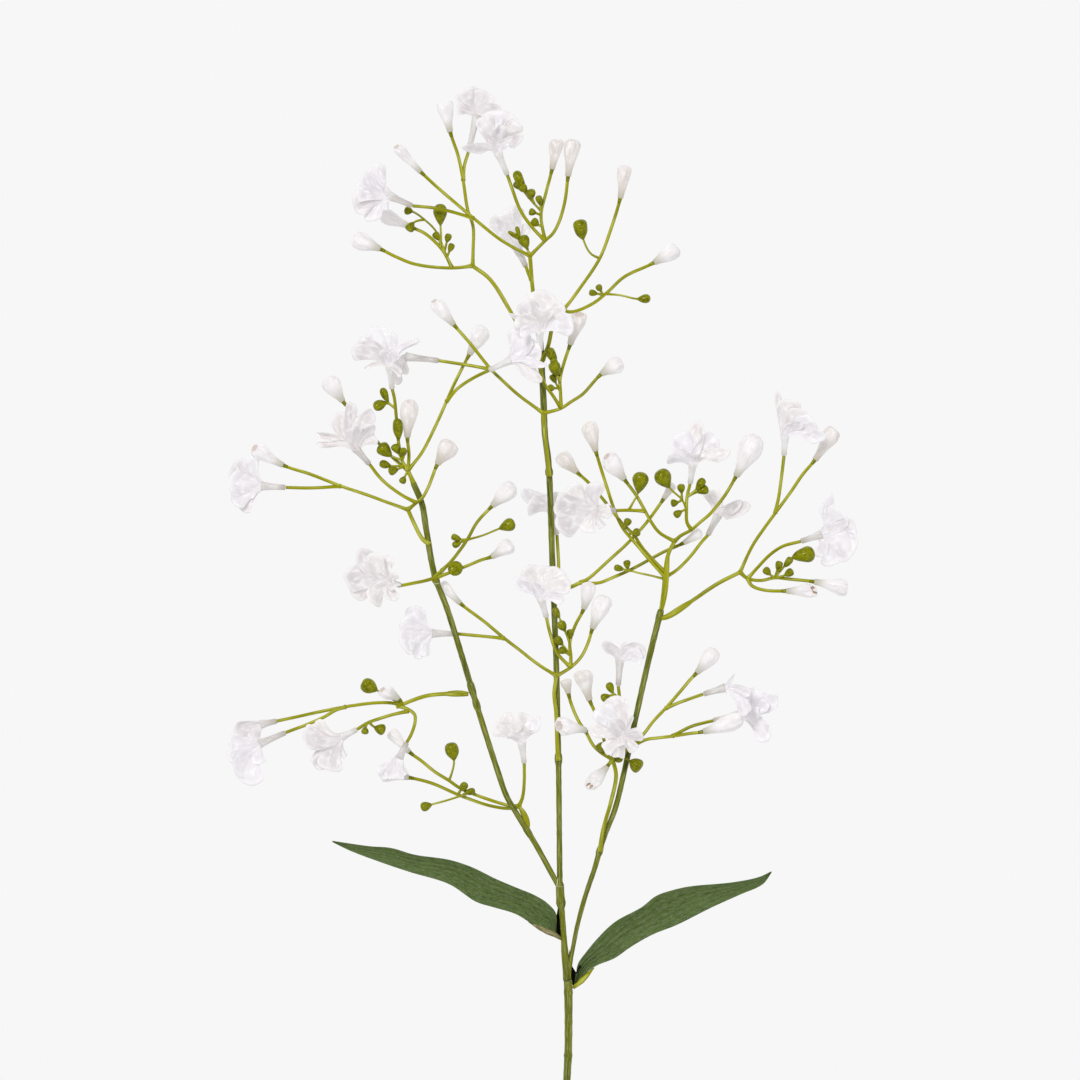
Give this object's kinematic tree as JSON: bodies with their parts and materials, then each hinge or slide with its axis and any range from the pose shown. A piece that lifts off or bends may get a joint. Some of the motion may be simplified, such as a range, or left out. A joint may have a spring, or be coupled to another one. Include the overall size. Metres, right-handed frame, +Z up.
{
  "type": "artificial gypsophila stem",
  "caption": "Artificial gypsophila stem with two branches, sprays of small white funnel blooms, closed buds and green berries, and two narrow leaves, lying down.",
  "frame": {"origin": "centre of the bounding box's bottom face, on the surface the stem lies on", "axes": "+Y from the cut end to the crown, +Z up, +X to the right seen from above"},
  "size_m": [0.2504, 0.593, 0.0539],
  "materials": {
    "stem": "satin moulded plastic",
    "spray": "glossy moulded plastic",
    "bloom": "fine satin cloth",
    "leaf": "creased matt cloth"
  },
  "bodies": {
    "root": {"lower_stem": "stem", "centre_stem": "stem", "left_branch": "stem", "right_branch": "stem", "left_leaf": "leaf", "right_leaf": "leaf", "crown_spray": "spray", "crown_left_spray": "spray", "crown_right_spray": "spray", "upper_spray": "spray", "middle_spray": "spray", "left_top_spray": "spray", "left_mid_spray": "spray", "left_side_spray": "spray", "left_low_spray": "spray", "low_left_spray": "spray", "right_top_spray": "spray", "centre_right_spray": "spray", "right_side_spray": "spray", "right_low_spray": "spray", "crown_bloom_left": "bloom", "crown_bloom_top": "bloom", "crown_bloom_back": "bloom", "crown_left_bloom": "bloom", "upper_bloom_left": "bloom", "upper_bloom_front": "bloom", "middle_bloom_left": "bloom", "middle_bloom_front": "bloom", "left_top_bloom_right": "bloom", "left_top_bloom_up": "bloom", "left_mid_bloom_left": "bloom", "left_mid_bloom_up": "bloom", "left_side_bloom": "bloom", "left_low_bloom_upper": "bloom", "left_low_bloom_lower": "bloom", "left_low_bloom_middle": "bloom", "left_low_bloom_inner": "bloom", "low_left_bloom": "bloom", "right_top_bloom_left": "bloom", "right_top_bloom_up": "bloom", "right_top_bloom_back": "bloom", "centre_right_bloom": "bloom", "right_side_bloom_up": "bloom", "right_side_bloom_low": "bloom", "right_low_bloom_up": "bloom", "right_low_bloom_front": "bloom", "right_low_bloom_right": "bloom", "right_low_bloom_back": "bloom"}
  },
  "joints": []
}
